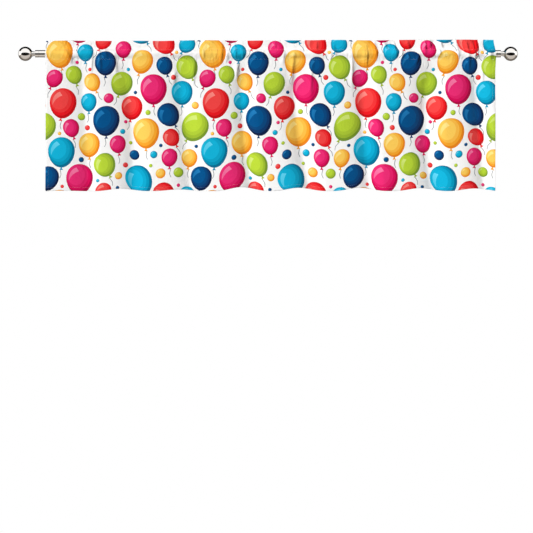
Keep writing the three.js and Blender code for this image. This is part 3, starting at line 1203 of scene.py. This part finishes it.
column_side = np.tile((column_of == len(columns) - 1) * 1.0 - (column_of == 0), 2)
row_side = np.tile((row_of == len(rows) - 1) * 1.0 - (row_of == 0), 2)
right_share = (flat_across - across_flat[0]) / FLAT_WIDTH
down_share = (flat_down - down_flat[0]) / FLAT_HEIGHT
bake_corner = np.stack(
    [
        BAKE_MARGIN + (1 - 2 * BAKE_MARGIN) * right_share,
        BAKE_MARGIN + BAKE_TALL * down_share,
    ],
    axis=1,
)
bake_map = bake_corner[loop_corner]
on_reverse = loop_corner >= corner_count
on_edge = (on_reverse.reshape(-1, 4).any(axis=1) & (sides == 0))[face_of_loop] & on_reverse
bake_map[(sides == 1)[face_of_loop], 1] += 0.5
outwards = np.stack([column_side, row_side], axis=1)[loop_corner] * BAKE_EDGE
bake_map[on_edge] += outwards[on_edge]
mesh.uv_layers.new(name="OFBake").uv.foreach_set("vector", bake_map.ravel())
print("bake map reaches:", bake_map.min(axis=0).round(3), bake_map.max(axis=0).round(3))

# %% [markdown]
# ## Rod and finials
#
# The rod is a tube of 22 mm. Each finial is turned in one piece: a ball, a hollow neck, and a
# collar that matches the tube. A ball finial starts as a sphere whose poles lie along the rod.
# The cap of faces next to the rod becomes one flat face, and that face is pulled out step by
# step, as a turner would leave the metal standing: first the flare of the neck, then the
# collar, and last the plug that goes into the tube.

# %% Rod and finial sizes
ROD_RADIUS = 11.0 * MM
ROD_WALL = 1.0 * MM
ROD_END = 695.0 * MM
COLLAR_END = 707.0 * MM
FIT_GAP = 0.3 * MM
BALL_RADIUS = 21.75 * MM
BALL_CENTRE = 736.9 * MM
NECK_RADIUS = 6.5 * MM
PLUG_LENGTH = 22.0 * MM
ROUND_SIDES = 64


def finish_in_place(piece):
    """Moves the piece's place and turn into its mesh, so its object sits at the origin."""
    select_only(piece)
    bpy.ops.object.transform_apply(location=True, rotation=True, scale=True)


def wear(material, pieces):
    for piece in pieces:
        piece.data.materials.clear()
        piece.data.materials.append(material)


tube = add_object(
    bpy.ops.mesh.primitive_cylinder_add,
    "polished_tube",
    vertices=ROUND_SIDES,
    radius=ROD_RADIUS,
    depth=2 * ROD_END,
    end_fill_type="NOTHING",
    rotation=(0, math.pi / 2, 0),
)
wall = tube.modifiers.new("wall", "SOLIDIFY")
wall.thickness = ROD_WALL
wall.offset = -1
finish_in_place(tube)
bpy.ops.object.modifier_apply(modifier=wall.name)
bpy.ops.object.shade_smooth_by_angle(angle=math.radians(40))
print("tube:", len(tube.data.polygons), "faces")

# %% Turn one finial
NECK_STEPS = 7
FLARE_ANGLE = math.radians(25)
FLARE_TURN = 713.0 * MM


def turned_finial(name):
    """The right finial, built along +X from a sphere."""
    finial = add_object(
        bpy.ops.mesh.primitive_uv_sphere_add,
        name,
        segments=ROUND_SIDES,
        ring_count=36,
        radius=BALL_RADIUS,
        location=(BALL_CENTRE, 0, 0),
        rotation=(0, math.pi / 2, 0),
    )
    finish_in_place(finial)
    bpy.ops.object.mode_set(mode="EDIT")
    bpy.ops.mesh.select_mode(type="FACE")
    bpy.ops.mesh.select_all(action="DESELECT")
    bpy.ops.object.mode_set(mode="OBJECT")
    cap_edge = BALL_CENTRE - BALL_RADIUS * math.cos(FLARE_ANGLE)
    for face in finial.data.polygons:
        face.select = face.center.x < cap_edge
    bpy.ops.object.mode_set(mode="EDIT")
    bpy.ops.mesh.dissolve_faces()
    bpy.ops.object.mode_set(mode="OBJECT")
    return finial


def pull_out(finial, x, radius):
    """Extrudes the face next to the rod to a new place and radius."""
    bpy.ops.object.mode_set(mode="EDIT")
    bpy.ops.mesh.extrude_region_move()
    bpy.ops.object.mode_set(mode="OBJECT")
    corners = [v for v in finial.data.vertices if v.select]
    for corner in corners:
        turn = math.atan2(corner.co.z, corner.co.y)
        corner.co = (x, radius * math.cos(turn), radius * math.sin(turn))


finial = turned_finial("polished_finial_right")
start_x = BALL_CENTRE - BALL_RADIUS * math.cos(FLARE_ANGLE)
start_radius = BALL_RADIUS * math.sin(FLARE_ANGLE)
for step in range(1, NECK_STEPS + 1):
    share = step / NECK_STEPS
    x = lerp(lerp(start_x, FLARE_TURN, share), lerp(FLARE_TURN, COLLAR_END, share), share)
    radius = lerp(start_radius, NECK_RADIUS, 1 - (1 - share) ** 2)
    pull_out(finial, x, radius)
pull_out(finial, COLLAR_END, ROD_RADIUS)
pull_out(finial, ROD_END + FIT_GAP, ROD_RADIUS)
pull_out(finial, ROD_END + FIT_GAP, ROD_RADIUS - ROD_WALL - FIT_GAP)
pull_out(finial, ROD_END - PLUG_LENGTH, ROD_RADIUS - ROD_WALL - FIT_GAP)
edges = finial.modifiers.new("eased_edges", "BEVEL")
edges.width = 0.7 * MM
edges.segments = 3
edges.limit_method = "ANGLE"
edges.angle_limit = math.radians(50)
bpy.ops.object.modifier_apply(modifier=edges.name)
bpy.ops.object.shade_smooth_by_angle(angle=math.radians(40))
print("finial:", len(finial.data.polygons), "faces")

# %% Copy it to the left end
select_only(finial)
bpy.ops.object.duplicate()
left_finial = bpy.context.object
left_finial.name = "polished_finial_left"
left_finial.data.name = left_finial.name
left_finial.rotation_euler = (0, 0, math.pi)
finish_in_place(left_finial)
print("left finial reaches:", round(min(v.co.x for v in left_finial.data.vertices), 4))

# %% [markdown]
# ## Polished nickel
#
# The tube and finials are steel with a polished nickel plate, which is a little warmer than
# chrome. A mirror finish shows mostly what is round it, so the metal itself is simple: a clean
# metal with a low roughness. Handling leaves faint smears, which change the roughness in soft
# patches, and polishing leaves hair-fine lines round the rod.

# %% Polished nickel
# How many there are to a metre: a smear is about 17 mm, and the polishing lines are a third of
# a millimetre apart and 25 mm long
SMEARS = 60.0
POLISHING_LINES = (3000.0, 40.0, 40.0)

nickel, tree, shader = new_material("polished_nickel_plate")
place = node(tree, "ShaderNodeTexCoord").outputs["Object"]
smears = node(tree, "ShaderNodeTexNoise", {"Vector": place, "Scale": SMEARS, "Detail": 3.0})
stretched = node(tree, "ShaderNodeMapping", {"Vector": place, "Scale": POLISHING_LINES})
lines = node(tree, "ShaderNodeTexNoise", {"Vector": stretched, "Scale": 1.0})
inputs = {"Height": lines, "Strength": 0.06, "Distance": 0.02 * MM}
connect(tree, shader, {
    "Base Color": linear("E2DFDB"),
    "Metallic": 1.0,
    "Roughness": node(tree, "ShaderNodeMapRange", {0: smears, 1: 0.3, 2: 0.7, 3: 0.05, 4: 0.13}),
    "Normal": node(tree, "ShaderNodeBump", inputs),
})
nickel_pieces = [tube, finial, left_finial]
wear(nickel, nickel_pieces)
print("nickel pieces:", len(nickel_pieces))

# %% [markdown]
# ## Stitching
#
# Two rows of lockstitch hold the pocket, and one row holds each hem. One stitch is a short,
# slightly flattened thread with rounded ends. An Array modifier repeats it into a straight
# row on the flat cloth, and the row is then hung by the same function as the cloth, so it
# follows every fold.

# %% One row of stitches
STITCH = 2.6
STITCH_PITCH = 3.6
THREAD = 0.25
# How far a stitch's middle stands above the print, and how far its ends sink below that
STITCH_LIFT = 0.16
STITCH_SINKS = 0.24


def stitch_row(name, start, end, turned=False):
    """A row of stitches on the flat cloth, from one flat place to another, then hung."""
    length = end[1] - start[1] if turned else end[0] - start[0]
    row = add_object(
        bpy.ops.mesh.primitive_cylinder_add,
        name,
        vertices=6,
        radius=THREAD / 2,
        depth=STITCH,
        rotation=(0, math.pi / 2, 0),
    )
    finish_in_place(row)
    repeat = row.modifiers.new("row", "ARRAY")
    repeat.count = int(length / STITCH_PITCH)
    repeat.use_relative_offset = False
    repeat.use_constant_offset = True
    repeat.constant_offset_displace = (STITCH_PITCH, 0, 0)
    bpy.ops.object.modifier_apply(modifier=repeat.name)
    places = points_of(row.data)
    along, beside_row = places[:, 0] + STITCH, places[:, 1]
    if turned:
        across, down = start[0] + beside_row, start[1] + along
    else:
        across, down = start[0] + along, start[1] + beside_row
    # Each stitch sinks into the cloth at its two ends, where half is 1
    half = np.abs((places[:, 0] + STITCH_PITCH / 2) % STITCH_PITCH - STITCH_PITCH / 2) / (STITCH / 2)
    lift = places[:, 2] + STITCH_LIFT - STITCH_SINKS * half ** 2
    row.data.vertices.foreach_set("co", (on_cloth(across, down, lift) * MM).ravel())
    row.data.update()
    bpy.ops.object.shade_smooth_by_angle(angle=math.radians(60))
    return row


print("stitch:", STITCH, "mm long, one every", STITCH_PITCH, "mm")

# %% Sew the seams
INSET = 4.0
SIDE_ROW = SIDE_HEM - 2.0
HEM_ROW = ZONES[7] - HEM_HEIGHT + 1.5

seams = []
for name, down in (
    ("pocket_top", ZONES[5]),
    ("pocket_foot", ZONES[6]),
    ("pocket_top_back", ZONES[2]),
    ("hem", HEM_ROW),
):
    seams.append(stitch_row("stitches_" + name, (INSET, down), (hung_flat - INSET, down)))
for name, across in (("left", SIDE_ROW), ("right", hung_flat - SIDE_ROW)):
    seams.append(stitch_row("stitches_side_" + name, (across, ZONES[6]), (across, HEM_ROW), True))

# Polyester thread: smooth filaments twisted together, so it is a little glossier than the cloth.
# Lighter patches of about 1 mm are a painted sheen along the twist
SHEEN_PATCHES = 900.0

thread, tree, shader = new_material("polyester_thread")
place = node(tree, "ShaderNodeTexCoord").outputs["Object"]
# A noise lightens the thread's colour in patches: painted sheen
twist_sheen = node(tree, "ShaderNodeTexNoise", {"Vector": place, "Scale": SHEEN_PATCHES})
connect(tree, shader, {
    "Base Color": laid_over(tree, linear("BDBBBA"), [(twist_sheen, linear("D6D4D2"))]),
    "Roughness": 0.6,
})
wear(thread, seams)
print("stitch faces:", sum(len(row.data.polygons) for row in seams))

# %% [markdown]
# ## The studio
#
# The picture has a plain white ground, so the world is white where the camera looks at it.
# Polished metal needs something to mirror: a bright ceiling, a dark line at the horizon and a
# warm pale floor, as in a product studio. Only mirror rays see that second world. A low white
# panel beside each ball gives it the bright patch on its outer side. The cloth gets a little
# soft light from all round and a strong even light from the left in front, which leaves each
# fold's long slope darker. A lamp behind shows the wrong side to a viewer who walks round the
# part.
#
# The floor is a room's floor, about 2 m below the rod. It is pale under the valance and fades
# to the white of the background, so it has no visible edge. It sends no light back up, because
# the soft world already stands for that light.

# %% World
SOFT_LIGHT = 0.18
MIRROR_LIGHT = 1.3
# What polished metal mirrors, by how far up a direction is turned: 0 degrees is straight
# out towards the camera, 90 is up, 180 is straight behind and -90 is down
MIRRORED = [
    (-180, "0A0908"), (-170, "0A0908"), (-160, "6F6860"), (-106, "6F6860"), (-96, "BFB8B1"),
    (-40, "CDC6C0"), (-28, "0A0908"), (13, "0A0908"), (20, "FFFFFF"), (91, "FFFFFF"),
    (96, "080808"), (178, "080808"),
]

world = bpy.data.worlds.new("studio")
bpy.context.scene.world = world
world.use_nodes = True
tree = world.node_tree
tree.nodes.clear()
direction = node(tree, "ShaderNodeTexCoord").outputs["Generated"]
aims = node(tree, "ShaderNodeSeparateXYZ", {0: direction}).outputs
forwards = node(tree, "ShaderNodeMath", {0: aims[1], 1: -1.0}, operation="MULTIPLY")
turned_up = node(tree, "ShaderNodeMath", {0: aims[2], 1: forwards}, operation="ARCTAN2")
share = node(tree, "ShaderNodeMapRange", {0: turned_up, 1: -math.pi, 2: math.pi, 3: 0.0, 4: 1.0})
ramp = node(tree, "ShaderNodeValToRGB", {0: share})
fill_ramp(ramp.color_ramp, [(degrees / 360 + 0.5, tone) for degrees, tone in MIRRORED])
rays = node(tree, "ShaderNodeLightPath").outputs
mixed = node(tree, "ShaderNodeBackground", {0: linear("FFFFFF"), 1: SOFT_LIGHT})
for ray, colour, strength in (
    ("Is Glossy Ray", ramp, MIRROR_LIGHT),
    ("Is Camera Ray", linear("FFFFFF"), 1.0),
):
    seen = node(tree, "ShaderNodeBackground", {0: colour, 1: strength})
    mixed = node(tree, "ShaderNodeMixShader", {0: rays[ray], 1: mixed, 2: seen})
node(tree, "ShaderNodeOutputWorld", {0: mixed})
print("mirrored tones:", len(MIRRORED))

# %% Lamps
def area_lamp(name, place, aim, wide, tall, power):
    """A soft light of a width and a height at a place, turned to face another."""
    lamp = add_object(bpy.ops.object.light_add, name, type="AREA", location=place)
    lamp.data.energy = power
    lamp.data.shape = "RECTANGLE"
    lamp.data.size = wide
    lamp.data.size_y = tall
    towards = np.array(aim) - np.array(place)
    across = math.atan2(towards[1], towards[0])
    tilt = math.atan2(math.hypot(towards[0], towards[1]), -towards[2])
    lamp.rotation_euler = (tilt, 0, across - math.pi / 2)
    return lamp


key_turn = (math.radians(70), 0, math.radians(-37))
key = add_object(bpy.ops.object.light_add, "key", type="SUN", rotation=key_turn)
key.data.energy = 3.5
key.data.angle = math.radians(8)
key.visible_glossy = False
back = area_lamp("back", (1.5, 3.5, 1.5), aim=(0, 0, -0.2), wide=2.5, tall=2.5, power=120)
back.visible_glossy = False
for end in (-1, 1):
    place, aim = (1.06 * end, 0.06, 0.04), (0.74 * end, 0, 0.02)
    panel = area_lamp("edge", place, aim, wide=0.5, tall=0.22, power=0.42)
    panel.visible_camera = False
    panel.visible_diffuse = False

# %% Floor
FLOOR_HEIGHT = -2.1
FLOOR_SIZE = 40.0
# How far from the middle the paint starts to blend into white, where it is all white, and the
# white's share up to the first of these
PALE_FROM = 2.2
WHITE_FROM = 5.5
PALE_SHARE = 0.55

floor = add_object(
    bpy.ops.mesh.primitive_plane_add,
    "studio_floor",
    size=FLOOR_SIZE,
    location=(0, 0, FLOOR_HEIGHT),
)
floor.visible_diffuse = False
floor.visible_glossy = False
floor.visible_shadow = False

# Matt white floor paint, blended into the background's white with the distance
painted, tree, shader = new_material("matt_white_floor_paint")
connect(tree, shader, {"Base Color": linear("F4F3F1"), "Roughness": 0.9})
place = node(tree, "ShaderNodeTexCoord").outputs["Object"]
away = node(tree, "ShaderNodeVectorMath", {0: place}, operation="LENGTH").outputs["Value"]
inputs = {0: away, 1: PALE_FROM, 2: WHITE_FROM, 3: PALE_SHARE, 4: 1.0}
share = node(tree, "ShaderNodeMapRange", inputs, interpolation_type="SMOOTHSTEP")
background = node(tree, "ShaderNodeEmission", {0: linear("FFFFFF"), 1: 1.0})
mixed = node(tree, "ShaderNodeMixShader", {0: share, 1: shader, 2: background})
connect(tree, tree.nodes["Material Output"], {"Surface": mixed})
wear(painted, [floor])
print("floor:", FLOOR_SIZE, "m wide")

# Colours are shown as they are, without the softer whites of a film
bpy.context.scene.view_settings.view_transform = "Standard"
bpy.context.scene.view_settings.look = "None"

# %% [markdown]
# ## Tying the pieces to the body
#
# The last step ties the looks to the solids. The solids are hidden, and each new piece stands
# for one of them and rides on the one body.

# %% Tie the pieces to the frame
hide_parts("valance")
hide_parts("rod_tube")
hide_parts("finial_right")
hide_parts("finial_left")
for piece in (cloth, *seams):
    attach(piece, "root")
for piece in nickel_pieces:
    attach(piece, "root")
